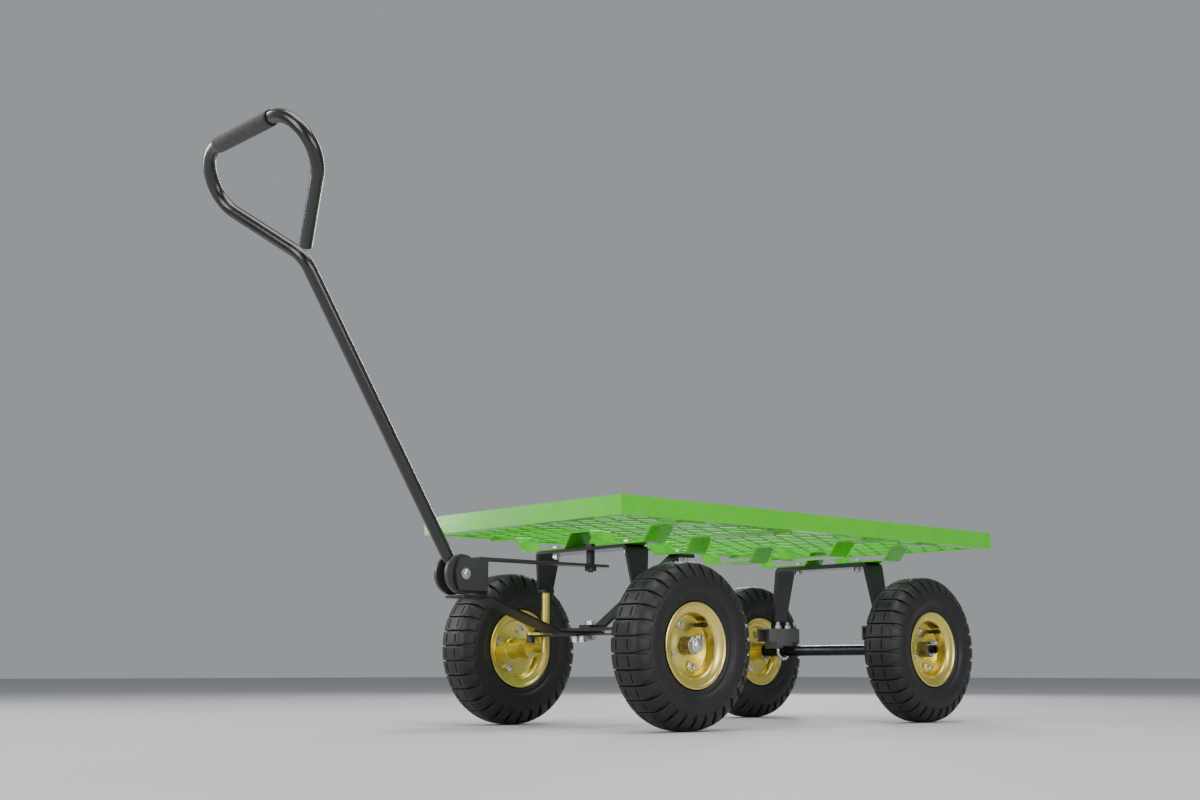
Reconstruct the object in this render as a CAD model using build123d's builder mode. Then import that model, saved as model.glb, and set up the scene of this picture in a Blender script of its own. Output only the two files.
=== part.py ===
"""Garden cart: an open mesh deck on four pneumatic wheels, steered by a pull handle.

Frame: +X forward (the handle end), +Y the cart's left, +Z up, millimetres.
The origin is on the ground, under the centre of the bounding box.
"""
from build123d import *

import os
from math import cos, radians, sin, tan

os.makedirs("parts", exist_ok=True)

# ---- driving dimensions -------------------------------------------------------------
tyre_od = 260.0
tyre_w = 78.0
wheelbase = 621.0
front_track = 424.0
rear_track = 416.0

deck_l = 968.0
deck_w = 496.0
deck_front = 162.0        # front edge of the deck, ahead of the front axle
deck_z = 321.0            # underside of the rails
rail_h = 30.0
rail_t = 2.5
rail_flange = 22.0

stem_l = 536.0            # handle pivot to the bend below the loop
loop_l = 197.0            # that bend to the grip bar
rest_angle = 57.5         # handle above the horizontal, as it stands
handle_r = 10.0
grip_r = 12.8
pivot_ahead = 279.0       # handle pivot, ahead of the front axle
pivot_z = 238.0

kingpin_y = 115.6
steer_a = Vector(25.0, 8.5)   # tie rod joint from its steering axis, on both ends
run = 0.05                # radial running clearance of a pin in its hole
past = 1.0                # how far a cutting shape runs past a face

# ---- derived placing ----------------------------------------------------------------
wheel_r = tyre_od / 2
tip_ahead = pivot_ahead + (stem_l + loop_l) * cos(radians(rest_angle)) + grip_r
front_x = ((deck_l - deck_front) - tip_ahead) / 2
rear_x = front_x - wheelbase
deck_x = front_x + deck_front - deck_l / 2
pivot_x = front_x + pivot_ahead


def save(part, name):
    """Label a finished piece and write it to its own file."""
    part.label = name
    export_step(part, f"parts/{name}.step")


def bent_strip(plane, points, thickness, width, bend_r, side=Side.RIGHT):
    """A flat strip bent along points on one face, its width centred on the plane."""
    with BuildPart() as strip:
        with BuildSketch(plane):
            with BuildLine():
                face_line = FilletPolyline(*points, radius=bend_r)
                offset(face_line, amount=thickness, side=side)
            make_face()
        extrude(amount=width / 2, both=True)
    return strip.part


crown = 0.56              # radius of a hexagon's broken corners, over its flats


def hex_prism(plane, across_flats, height):
    """A hexagon nut or bolt head with its crown edges broken, standing on the plane."""
    with BuildPart() as head:
        with BuildSketch(plane):
            RegularPolygon(across_flats / 2, 6, major_radius=False)
        extrude(amount=height)
        with BuildSketch(plane):
            Circle(across_flats * crown)
        extrude(amount=height, mode=Mode.INTERSECT)
    return head.part


# ---- deck ---------------------------------------------------------------------------
def side_rail(name, side):
    """Long angle rail: an upright leg outside and a flange inwards under the mesh."""
    edge = side * deck_w / 2
    with BuildPart() as rail:
        with BuildSketch(Plane.YZ.offset(deck_x - deck_l / 2)):
            with BuildLine():
                Polyline(
                    (edge, deck_z),
                    (edge, deck_z + rail_h),
                    (edge - side * rail_t, deck_z + rail_h),
                    (edge - side * rail_t, deck_z + rail_t),
                    (edge - side * rail_flange, deck_z + rail_t),
                    (edge - side * rail_flange, deck_z),
                    close=True,
                )
            make_face()
        extrude(amount=deck_l)
    save(rail.part, name)


def end_rail(name, end):
    """Cross angle rail between the side rails, butted against their inner faces."""
    edge = deck_x + end * deck_l / 2
    leg_w = deck_w - 2 * rail_t
    flange_w = deck_w - 2 * rail_flange
    with BuildPart() as rail:
        with BuildSketch(Plane.XY.offset(deck_z)):
            with Locations((edge - end * rail_flange / 2, 0)):
                Rectangle(rail_flange, flange_w)
        extrude(amount=rail_t)
        with BuildSketch(Plane.XY.offset(deck_z + rail_t)):
            with Locations((edge - end * rail_t / 2, 0)):
                Rectangle(rail_t, leg_w)
        extrude(amount=rail_h - rail_t)
    save(rail.part, name)


side_rail("deck_left_rail", 1)
side_rail("deck_right_rail", -1)
end_rail("deck_front_rail", 1)
end_rail("deck_rear_rail", -1)

# Expanded metal floor, lying on the rail flanges: staggered diamonds, long way along X.
mesh_t = 2.5
mesh_long = 62.0
mesh_short = 37.0
mesh_open = 0.885         # opening over pitch, the rest is the strand
mesh_cols = 15
mesh_rows = 13
mesh_z = deck_z + rail_t
mesh_gap = 0.5            # between the sheet and the upright legs of the rails
opening = [
    (mesh_open * mesh_long / 2, 0),
    (0, mesh_open * mesh_short / 2),
    (-mesh_open * mesh_long / 2, 0),
    (0, -mesh_open * mesh_short / 2),
]
with BuildPart() as mesh:
    with BuildSketch(Plane.XY.offset(mesh_z)):
        with Locations((deck_x, 0)):
            Rectangle(deck_l - 2 * (rail_t + mesh_gap), deck_w - 2 * (rail_t + mesh_gap))
            with GridLocations(mesh_long, mesh_short, mesh_cols, mesh_rows):
                Polygon(*opening, mode=Mode.SUBTRACT)
            with GridLocations(mesh_long, mesh_short, mesh_cols - 1, mesh_rows - 1):
                Polygon(*opening, mode=Mode.SUBTRACT)
    extrude(amount=mesh_t)
save(mesh.part, "deck_mesh")

# Cross straps: one flat strip each, welded under the rails, pressed down into hats.
strap_w = 48.0
strap_t = 3.0
strap_bend_r = 4.0
strap_end = deck_w / 2 - 10
hat_drop = 25.0
hat_z = deck_z - strap_t - hat_drop           # underside of the hats
low_z = hat_z + strap_t
twin_hats = [(170, deck_z), (150, low_z), (40, low_z), (24, deck_z)]
single_hat = [(52, deck_z), (38, low_z)]
bolt_r = 4.0
front_bolt_y = 88.5
rear_bolt_y = 73.0
brace_x = front_x - 212.0
middle_x = front_x - 463.0
rear_strap_x = front_x - 623.0
brace_bolt_x = (brace_x - 11.5, brace_x + 3.5)


def strap(name, x, hat, bolts):
    """One cross strap; the hat's points are those of its upper face, left half."""
    left = [(strap_end, deck_z)] + hat
    right = [(-y, z) for y, z in reversed(left)]
    with BuildPart() as piece:
        add(bent_strip(Plane.YZ.offset(x), left + right, strap_t, strap_w, strap_bend_r, Side.LEFT))
        if bolts:
            with BuildSketch(Plane.XY.offset(hat_z - past)):
                with Locations(*bolts):
                    Circle(bolt_r)
            extrude(amount=strap_t + 2 * past, mode=Mode.SUBTRACT)
    save(piece.part, name)


front_bolts = [(front_x, side * front_bolt_y) for side in (-1, 1)]
rear_bolts = [(rear_x, side * rear_bolt_y) for side in (-1, 1)]
brace_bolts = [(x, 0) for x in brace_bolt_x]
strap("front_strap", front_x, twin_hats, front_bolts)
strap("brace_strap", brace_x, single_hat, brace_bolts)
strap("middle_strap", middle_x, twin_hats, [])
strap("rear_strap", rear_strap_x, twin_hats, rear_bolts)


# ---- axle brackets ------------------------------------------------------------------
bar_bend_r = 10.0


def bracket(x, top_y, foot_y, foot_z, thickness, top_w, foot_w, bolts):
    """An inverted U bent from flat bar, its legs flared out and tapered downwards."""
    outline = [(-foot_y, foot_z), (-top_y, hat_z), (top_y, hat_z), (foot_y, foot_z)]
    with BuildPart() as frame:
        add(bent_strip(Plane.YZ.offset(x), outline, thickness, top_w, bar_bend_r))
        with BuildSketch(Plane((x, 0, 0), x_dir=(1, 0, 0), z_dir=(0, -1, 0))):
            with BuildLine():
                Polyline(
                    (-top_w / 2, hat_z + past),
                    (top_w / 2, hat_z + past),
                    (top_w / 2, hat_z - thickness),
                    (foot_w / 2, foot_z),
                    (foot_w / 2, foot_z - thickness),
                    (-foot_w / 2, foot_z - thickness),
                    (-foot_w / 2, foot_z),
                    (-top_w / 2, hat_z - thickness),
                    close=True,
                )
            make_face()
        extrude(amount=foot_y + thickness + past, both=True, mode=Mode.INTERSECT)
        with BuildSketch(Plane.XY.offset(hat_z + past)):
            with Locations(*bolts):
                Circle(bolt_r)
        extrude(amount=-thickness - 2 * past, mode=Mode.SUBTRACT)
        level = Plane((x, 0, foot_z), z_dir=(0, 0, 1))
        split(bisect_by=level, keep=Keep.TOP)
    return frame.part


bar_t = 5.5
bar_w = 50.0
pad_z = 223.5             # underside of the kingpin pads
pad_size = (26.0, 22.0)
pad_corner_r = 5.0
front_top_y = 112.0       # outer corners of the front bracket's top
front_foot_y = 119.0      # outer faces of its feet
front_foot_w = 32.0
kingpin_r = 5.5
sleeve_r = 7.0            # spacer sleeves on the kingpin
stud_r = 5.0
with BuildPart() as front_bracket:
    foot_top = pad_z + bar_t
    add(bracket(front_x, front_top_y, front_foot_y, foot_top, bar_t, bar_w, front_foot_w, front_bolts))
    with BuildSketch(Plane.XY.offset(pad_z)):
        with Locations((front_x, kingpin_y), (front_x, -kingpin_y)):
            RectangleRounded(*pad_size, pad_corner_r)
            Circle(kingpin_r + run, mode=Mode.SUBTRACT)
    extrude(amount=bar_t)
    with BuildSketch(Plane.XY.offset(hat_z + past)):
        with Locations((front_x, 0)):
            Circle(stud_r)
    extrude(amount=-bar_t - 2 * past, mode=Mode.SUBTRACT)
save(front_bracket.part, "front_bracket")

saddle_z = 174.0          # top of the rear axle saddles
rear_bar_t = 8.0
rear_top_y = 111.0
rear_foot_y = 134.0
rear_foot_w = 34.0
save(
    bracket(rear_x, rear_top_y, rear_foot_y, saddle_z, rear_bar_t, bar_w, rear_foot_w, rear_bolts),
    "rear_bracket",
)

# Front axle beam: flat bar that joins the feet of the two kingpins.
beam_z = 156.0
beam_w = 36.0
beam_past_pin = 16.0      # from a kingpin to the end of the beam
beam_corner_r = 12.0
lower_bolt_r = 5.0
with BuildPart() as beam:
    with BuildSketch(Plane.XY.offset(beam_z)):
        with Locations((front_x, 0)):
            RectangleRounded(beam_w, 2 * (kingpin_y + beam_past_pin), beam_corner_r)
            with Locations((0, kingpin_y), (0, -kingpin_y)):
                Circle(kingpin_r + run, mode=Mode.SUBTRACT)
            Circle(lower_bolt_r, mode=Mode.SUBTRACT)
    extrude(amount=bar_t)
save(beam.part, "front_axle_beam")

# Diagonal brace: from the middle of the beam up and back to the brace strap.
brace_t = 5.0
brace_w = 26.0
brace_foot_z = beam_z + bar_t + brace_t       # upper face of its foot
brace_angle = 35.5        # above the horizontal
brace_bend_r = 9.0
brace_nose = 14.0         # its foot, ahead of the bolt and behind it
brace_heel = 20.0
brace_run = (hat_z - brace_foot_z) / tan(radians(brace_angle))
brace_line = [
    (front_x + brace_nose, brace_foot_z),
    (front_x - brace_heel, brace_foot_z),
    (front_x - brace_heel - brace_run, hat_z),
    (brace_x - strap_w / 2, hat_z),
]
xz = Plane((0, 0, 0), x_dir=(1, 0, 0), z_dir=(0, -1, 0))
with BuildPart() as brace:
    add(bent_strip(xz, brace_line, brace_t, brace_w, brace_bend_r, Side.LEFT))
    with BuildSketch(Plane.XY.offset(hat_z + past)):
        with Locations(*brace_bolts):
            Circle(bolt_r)
    extrude(amount=-brace_t - 2 * past, mode=Mode.SUBTRACT)
    with BuildSketch(Plane.XY.offset(brace_foot_z + past)):
        with Locations((front_x, 0)):
            Circle(lower_bolt_r)
    extrude(amount=-brace_t - 2 * past, mode=Mode.SUBTRACT)
save(brace.part, "diagonal_brace")


# ---- fasteners of the frame ---------------------------------------------------------
point = 0.15              # chamfer of a bolt's end, over its radius


def bolt(at, radius, across_flats, head_h, grip, tail):
    """A hexagon bolt hanging from its head on the plane; the shank runs down."""
    with BuildPart() as piece:
        add(hex_prism(at, across_flats, head_h))
        with BuildSketch(at):
            Circle(radius)
        extrude(amount=-grip - tail)
        tip = piece.faces().sort_by(Axis(at.origin, at.z_dir))[0]
        chamfer(tip.edges(), point * radius)
    return piece.part


def nut(at, radius, across_flats, height):
    """A hexagon nut standing on the plane, bored for its bolt."""
    with BuildPart() as piece:
        add(hex_prism(at, across_flats, height))
        with BuildSketch(at):
            Circle(radius)
        extrude(amount=height, mode=Mode.SUBTRACT)
    return piece.part


def under(x, y, z):
    """A plane facing down at a point, for a nut that hangs below a face."""
    return Plane((x, y, z), z_dir=(0, 0, -1))


strap_af = 13.0           # across the flats of the strap bolts
strap_head_h = 5.5
strap_nut_h = 6.5
strap_tail = 9.0          # bolt past the face that its nut bears on
strap_fasteners = []
for (x, y), bar in (
    [(place, bar_t) for place in front_bolts]
    + [(place, brace_t) for place in brace_bolts]
    + [(place, rear_bar_t) for place in rear_bolts]
):
    head_at = Plane((x, y, hat_z + strap_t), z_dir=(0, 0, 1))
    strap_fasteners.append(bolt(head_at, bolt_r, strap_af, strap_head_h, strap_t + bar, strap_tail))
    strap_fasteners.append(nut(under(x, y, hat_z - bar), bolt_r, strap_af, strap_nut_h))
save(Compound(children=strap_fasteners), "strap_bolts")

# Upper steering pivot: a bolt through the bracket with a spacer down to the tongue.
tongue_strap_z = 262.0
tongue_strap_t = 4.0
joint_gap = 0.3           # between faces that turn on each other
stud_af = 18.0
stud_head_h = 7.0
stud_l = 40.0             # under its head
stud_nut_h = 6.5
upper_bolt_at = Plane((front_x, 0, hat_z), z_dir=(0, 0, 1))
upper_bolt = bolt(upper_bolt_at, stud_r, stud_af, stud_head_h, bar_t, stud_l - bar_t)
spacer_z = tongue_strap_z + tongue_strap_t + joint_gap
with BuildPart() as spacer:
    with BuildSketch(Plane.XY.offset(spacer_z)):
        with Locations((front_x, 0)):
            Circle(stud_r + 2)
            Circle(stud_r, mode=Mode.SUBTRACT)
    extrude(amount=hat_z - bar_t - spacer_z)
upper_nut = nut(under(front_x, 0, tongue_strap_z - joint_gap), stud_r, stud_af, stud_nut_h)
save(Compound(children=[upper_bolt, spacer.part, upper_nut]), "upper_pivot_bolt")

# Lower steering pivot: through the brace foot, the beam and the tongue's lower plate.
plate_t = 4.0
plate_gap = 0.5           # between the beam and the plate
plate_top = beam_z - plate_gap
plate_low = plate_top - plate_t
lower_af = 16.0
lower_head_h = 6.5
lower_nut_h = 8.0
lower_nut_gap = 1.0
lower_tail = 11.0         # bolt below the plate
lower_bolt_at = Plane((front_x, 0, brace_foot_z), z_dir=(0, 0, 1))
lower_grip = brace_foot_z - plate_low
lower_bolt = bolt(lower_bolt_at, lower_bolt_r, lower_af, lower_head_h, lower_grip, lower_tail)
lower_nut = nut(under(front_x, 0, plate_low - lower_nut_gap), lower_bolt_r, lower_af, lower_nut_h)
save(Compound(children=[lower_bolt, lower_nut]), "lower_pivot_bolt")

# ---- rear axle ----------------------------------------------------------------------
axle_r = 8.0
rear_rod_r = 10.0
hub_in = 47.0             # hub end inboard of the wheel's mid-plane
hub_out = 25.0            # hub end outboard of it
side_play = 0.3
washer_t = 2.0
axle_bore_r = 4.5         # hollow ends of the rear axle
axle_bore_l = 14.0
axle_end = hub_out + 9.5
split_pin_out = hub_out + side_play + washer_t + 2.0
split_pin_r = 1.5


def wheel_plane(x, side, track):
    """Axial half-plane of a wheel: local X outboard along the axle, local Y up."""
    return Plane((x, side * track / 2, wheel_r), x_dir=(0, side, 0), z_dir=(side, 0, 0))


with BuildPart() as rear_axle:
    shoulder_y = rear_track / 2 - hub_in - side_play
    with BuildSketch(Plane.XZ.offset(-shoulder_y)):
        with Locations((rear_x, wheel_r)):
            Circle(rear_rod_r)
    extrude(amount=2 * shoulder_y)
    end_y = rear_track / 2 + axle_end
    with BuildSketch(Plane.XZ.offset(-end_y)):
        with Locations((rear_x, wheel_r)):
            Circle(axle_r)
    extrude(amount=2 * end_y)
    for side in (-1, 1):
        with BuildSketch(Plane((rear_x, side * end_y, wheel_r), z_dir=(0, -side, 0))):
            Circle(axle_bore_r)
        extrude(amount=axle_bore_l, mode=Mode.SUBTRACT)
        pin_y = side * (rear_track / 2 + split_pin_out)
        with BuildSketch(Plane.XY):
            with Locations((rear_x, pin_y)):
                Circle(split_pin_r)
        extrude(amount=wheel_r + axle_r + past, mode=Mode.SUBTRACT)
save(rear_axle.part, "rear_axle")

# Washers and split pins that keep the rear wheels on.
washer_edge = 4.0         # washer beyond the axle, all round
pin_past_axle = 5.0
eye_r = 4.0
retainers = []
for side in (-1, 1):
    washer_y = side * (rear_track / 2 + hub_out + side_play)
    with BuildPart() as washer:
        with BuildSketch(Plane((rear_x, washer_y, wheel_r), z_dir=(0, side, 0))):
            Circle(axle_r + washer_edge)
            Circle(axle_r, mode=Mode.SUBTRACT)
        extrude(amount=washer_t)
    pin_y = side * (rear_track / 2 + split_pin_out)
    with BuildPart() as split_pin:
        with BuildSketch(Plane.XY.offset(wheel_r - axle_r - pin_past_axle)):
            with Locations((rear_x, pin_y)):
                Circle(split_pin_r)
        extrude(amount=2 * (axle_r + pin_past_axle))
        eye_at = Plane((rear_x, pin_y, wheel_r + axle_r + pin_past_axle), z_dir=(0, 1, 0))
        with BuildSketch(eye_at):
            Circle(eye_r)
            Circle(eye_r / 2, mode=Mode.SUBTRACT)
        extrude(amount=0.8 * split_pin_r, both=True)
    retainers += [washer.part, split_pin.part]
save(Compound(children=retainers), "rear_axle_pins")

# Saddles: short channels under the rear bracket feet, each seated on the axle.
saddle_l = 88.0
saddle_w = 34.0
saddle_h = 26.0
saddle_y = 129.0
saddle_wall = 3.0
seat_l = 44.0
seat_over_axle = 5.0      # the seat block ends this far above the axle's centre
u_bolt_y = 118.0
u_hole_r = 4.2
u_tail = 12.0             # legs of the U above the saddle
u_af = 12.0
u_nut_h = 6.0
u_rod_r = 4.0
u_leg = rear_rod_r + u_rod_r + 0.1
saddles = []
for side in (-1, 1):
    with BuildPart() as saddle:
        with BuildSketch(Plane.XY.offset(saddle_z)):
            with Locations((rear_x, side * saddle_y)):
                Rectangle(saddle_l, saddle_w)
        extrude(amount=-saddle_h)
        with BuildSketch(Plane.XY.offset(saddle_z - saddle_wall)):
            with Locations((rear_x, side * saddle_y)):
                Rectangle(saddle_l, saddle_w - 2 * saddle_wall)
        extrude(amount=-saddle_h, mode=Mode.SUBTRACT)
        with BuildSketch(Plane.XY.offset(saddle_z)):
            with Locations((rear_x, side * saddle_y)):
                Rectangle(seat_l, saddle_w)
        extrude(amount=-(saddle_z - wheel_r - seat_over_axle))
        with BuildSketch(Plane.XZ):
            with Locations((rear_x, wheel_r)):
                Circle(rear_rod_r)
        extrude(amount=saddle_y + saddle_w, both=True, mode=Mode.SUBTRACT)
        with BuildSketch(Plane.XY):
            with Locations((rear_x - u_leg, side * u_bolt_y), (rear_x + u_leg, side * u_bolt_y)):
                Circle(u_hole_r)
        extrude(amount=saddle_z + past, mode=Mode.SUBTRACT)
    saddles.append(saddle.part)
save(Compound(children=saddles), "axle_saddles")

# U-bolts round the rear axle, each with two nuts on top of its saddle.
u_top = saddle_z + u_tail - wheel_r           # ends of the legs above the axle's centre
u_bolts = []
for side in (-1, 1):
    loop_plane = Plane((rear_x, side * u_bolt_y, wheel_r), x_dir=(1, 0, 0), z_dir=(0, -1, 0))
    with BuildPart() as u_bolt:
        with BuildLine(loop_plane):
            Line((-u_leg, u_top), (-u_leg, 0))
            ThreePointArc((-u_leg, 0), (0, -u_leg), (u_leg, 0))
            Line((u_leg, 0), (u_leg, u_top))
        with BuildSketch(under(rear_x - u_leg, side * u_bolt_y, wheel_r + u_top)):
            Circle(u_rod_r)
        sweep()
    u_bolts.append(u_bolt.part)
    for end in (-1, 1):
        nut_at = Plane((rear_x + end * u_leg, side * u_bolt_y, saddle_z), z_dir=(0, 0, 1))
        u_bolts.append(nut(nut_at, u_rod_r, u_af, u_nut_h))
save(Compound(children=u_bolts), "rear_u_bolts")

# ---- tongue -------------------------------------------------------------------------
plate_w = 44.0
yoke_floor = 206.0        # upper face of the plate under the yoke
plate_tail = 22.0         # plate and strap behind the steering axis
plate_bend_r = 20.0
plate_tail_r = 18.0       # rounding of its rear corners, and of its front ones
plate_nose_r = 8.0
plate_line = [
    (front_x - plate_tail, plate_top),
    (front_x + 80, plate_top),
    (front_x + 228, yoke_floor),
    (front_x + 287, yoke_floor),
]
joint_r = 3.0
joints = [(front_x + steer_a.X, side * steer_a.Y) for side in (-1, 1)]
with BuildPart() as lower_plate:
    add(bent_strip(xz, plate_line, plate_t, plate_w, plate_bend_r))
    corners = lower_plate.edges().filter_by(Axis.Z)
    fillet(corners.group_by(Axis.X)[0], plate_tail_r)
    fillet(corners.group_by(Axis.X)[-1], plate_nose_r)
    with BuildSketch(Plane.XY.offset(plate_top + past)):
        with Locations((front_x, 0)):
            Circle(lower_bolt_r + run)
        with Locations(*joints):
            Circle(joint_r)
    extrude(amount=-plate_t - 2 * past, mode=Mode.SUBTRACT)
save(lower_plate.part, "tongue_lower_plate")

# Yoke: a U of plate round the foot of the handle, welded on the lower plate.
yoke_rear = front_x + 232
yoke_w = 48.0
yoke_t = 4.0
cheek_low = 213.0
cheek_front = front_x + 288
cheek_nose = 8.0          # the cheeks' rounded fronts reach this far beyond
yoke_bend_r = 6.0
pivot_bolt_r = 6.0
cheek_mid_z = (cheek_low + tongue_strap_z) / 2
with BuildPart() as yoke:
    with BuildSketch(xz):
        with BuildLine():
            nose = ThreePointArc(
                (cheek_front, cheek_low),
                (cheek_front + cheek_nose, cheek_mid_z),
                (cheek_front, tongue_strap_z),
            )
            Polyline(nose @ 1, (yoke_rear, tongue_strap_z), (yoke_rear, cheek_low), nose @ 0)
        make_face()
    extrude(amount=yoke_w / 2, both=True)
    with BuildSketch(Plane.XY.offset(yoke_floor)):
        with Locations((yoke_rear + yoke_t / 2, 0)):
            Rectangle(yoke_t, plate_w)
    extrude(amount=tongue_strap_z - yoke_floor)
    rear_corners = yoke.edges().filter_by(Axis.Z).group_by(Axis.X)[0]
    fillet(rear_corners.filter_by(lambda e: abs(e.center().Y) > plate_w / 2 + past), yoke_bend_r)
    with BuildSketch(Plane.XY.offset(tongue_strap_z + past)):
        with Locations((yoke_rear + yoke_t + yoke_w, 0)):
            RectangleRounded(2 * yoke_w, yoke_w - 2 * yoke_t, yoke_bend_r - yoke_t)
    extrude(amount=yoke_floor - tongue_strap_z - 2 * past, mode=Mode.SUBTRACT)
    with BuildSketch(Plane((pivot_x, 0, pivot_z), z_dir=(0, 1, 0))):
        Circle(pivot_bolt_r)
    extrude(amount=yoke_w, both=True, mode=Mode.SUBTRACT)
save(yoke.part, "tongue_yoke")

# Upper strap: from the top of the yoke back to the upper steering pivot.
strap_half = 15.0
strap_lap = 14.0          # strap over the yoke
tail = front_x - plate_tail
nose_x = yoke_rear + strap_lap
with BuildPart() as upper_strap:
    with BuildSketch(Plane.XY.offset(tongue_strap_z)):
        with BuildLine():
            ThreePointArc((tail, strap_half), (tail - strap_half, 0), (tail, -strap_half))
            Polyline((tail, -strap_half), (nose_x, -strap_half), (nose_x, strap_half), (tail, strap_half))
        make_face()
        with Locations((front_x, 0)):
            Circle(stud_r + run, mode=Mode.SUBTRACT)
    extrude(amount=tongue_strap_t)
save(upper_strap.part, "tongue_upper_strap")

# Handle pivot bolt: flanged round head on the left, washer and nut on the right.
pivot_tail = 12.0         # bolt past the right cheek, for the nut
pivot_flange_r = 8.8
pivot_flange_t = 1.5
pivot_head_r = 6.2
pivot_head_h = 5.0
pivot_af = 18.0
pivot_nut_h = 8.0
left_cheek = Plane((pivot_x, yoke_w / 2, pivot_z), z_dir=(0, 1, 0))
right_cheek = Plane((pivot_x, -yoke_w / 2, pivot_z), z_dir=(0, -1, 0))
with BuildPart() as pivot_bolt:
    with BuildSketch(right_cheek.offset(pivot_tail)):
        Circle(pivot_bolt_r)
    extrude(amount=-yoke_w - pivot_tail)
    with BuildSketch(left_cheek):
        Circle(pivot_flange_r)
    extrude(amount=pivot_flange_t)
    with BuildSketch(left_cheek.offset(pivot_flange_t)):
        Circle(pivot_head_r)
    extrude(amount=pivot_head_h)
    fillet(pivot_bolt.faces().sort_by(Axis.Y)[-1].edges(), pivot_head_r / 3)
pivot_nut = nut(right_cheek, pivot_bolt_r, pivot_af, pivot_nut_h)
save(Compound(children=[pivot_bolt.part, pivot_nut]), "handle_pivot_bolt")


# ---- steering joints and tie rods ---------------------------------------------------
rod_t = 3.0
rod_w = 12.0
rod_eye_r = 7.0
open_gap = 0.3            # radial clearance of the rod's outer eye
rod_top = plate_low - joint_gap
joint_af = 13.0
joint_head_h = 10.0


def joint_bolt(x, y):
    """A shoulder bolt screwed up into a plate, its head below the tie rod's eye."""
    head_at = under(x, y, rod_top - rod_t - joint_gap)
    with BuildPart() as piece:
        add(hex_prism(head_at, joint_af, joint_head_h))
        with BuildSketch(head_at):
            Circle(joint_r)
        extrude(amount=-(plate_top - rod_top + rod_t + joint_gap))
    return piece.part


save(Compound(children=[joint_bolt(*place) for place in joints]), "tongue_joint_bolts")


def tie_rod(name, side):
    """A flat bar with an eye at each end, across the cart from tongue to knuckle."""
    inner = (front_x + steer_a.X, side * steer_a.Y)
    outer = (front_x + steer_a.X, side * (steer_a.Y + kingpin_y))
    with BuildPart() as rod:
        with BuildSketch(Plane.XY.offset(rod_top - rod_t)):
            with Locations(inner, outer):
                Circle(rod_eye_r)
            with Locations((front_x + steer_a.X, side * (steer_a.Y + kingpin_y / 2))):
                Rectangle(rod_w, kingpin_y)
            with Locations(inner):
                Circle(joint_r + run, mode=Mode.SUBTRACT)
            with Locations(outer):
                Circle(joint_r + open_gap, mode=Mode.SUBTRACT)
        extrude(amount=rod_t)
    save(rod.part, name)


# ---- steering knuckles --------------------------------------------------------------
collar_r = 17.0
collar_t = 14.0
pin_below_pad = 0.5       # the kingpin's end, under the top of its pad
groove_w = 1.2
groove_d = 0.7
arm_pin_r = 12.0          # steering arm about the kingpin, and about its joint
arm_joint_r = 8.0
axle_af = 19.0
axle_nut_h = 5.0
hub_washer_edge = 3.0
sleeve_low = beam_z + bar_t + 0.5
sleeve_joint_z = 205.0    # where the two spacer sleeves of a kingpin meet


def knuckle(prefix, side):
    """Kingpin, steering arm and stub axle in one piece, with its joint bolt and nut."""
    pin = (front_x, side * kingpin_y)
    joint = (front_x + steer_a.X, side * (kingpin_y + steer_a.Y))
    mid_y = side * front_track / 2
    axle_side = Plane((front_x, side * kingpin_y, wheel_r), z_dir=(0, side, 0))
    with BuildPart() as body:
        with BuildSketch(Plane.XY.offset(wheel_r - axle_r)):
            with Locations(pin):
                Circle(kingpin_r)
        extrude(amount=pad_z + bar_t - pin_below_pad - wheel_r + axle_r)
        with BuildSketch(Plane.XY.offset(wheel_r - axle_r)):
            with Locations(pin):
                Circle(sleeve_r)
        extrude(amount=plate_top - wheel_r + axle_r)
        with BuildSketch(Plane.XY.offset(sleeve_low)):
            with Locations(pin):
                Circle(sleeve_r)
        extrude(amount=pad_z - joint_gap - sleeve_low)
        with BuildSketch(Plane.XY.offset(sleeve_joint_z)):
            with Locations(pin):
                Circle(sleeve_r + past)
                Circle(sleeve_r - groove_d, mode=Mode.SUBTRACT)
        extrude(amount=groove_w, mode=Mode.SUBTRACT)
        with BuildSketch(Plane.XY.offset(plate_low)):
            with Locations(pin):
                Circle(arm_pin_r)
            with Locations(joint):
                Circle(arm_joint_r)
            make_hull()
            with Locations(joint):
                Circle(joint_r, mode=Mode.SUBTRACT)
        extrude(amount=plate_t)
        with BuildSketch(axle_side):
            Circle(axle_r)
        extrude(amount=front_track / 2 + axle_end - kingpin_y)
        with BuildSketch(axle_side.offset(front_track / 2 - kingpin_y - hub_in - side_play)):
            Circle(collar_r)
        extrude(amount=-collar_t)
    save(body.part, f"{prefix}_knuckle")
    save(joint_bolt(*joint), f"{prefix}_joint_bolt")
    washer_at = Plane((front_x, mid_y + side * (hub_out + side_play), wheel_r), z_dir=(0, side, 0))
    with BuildPart() as washer:
        with BuildSketch(washer_at):
            Circle(axle_r + hub_washer_edge)
            Circle(axle_r, mode=Mode.SUBTRACT)
        extrude(amount=washer_t)
    axle_nut = nut(washer_at.offset(washer_t), axle_r, axle_af, axle_nut_h)
    save(Compound(children=[washer.part, axle_nut]), f"{prefix}_axle_nut")


for prefix, side in (("left", 1), ("right", -1)):
    tie_rod(f"{prefix}_tie_rod", side)
    knuckle(prefix, side)

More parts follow.
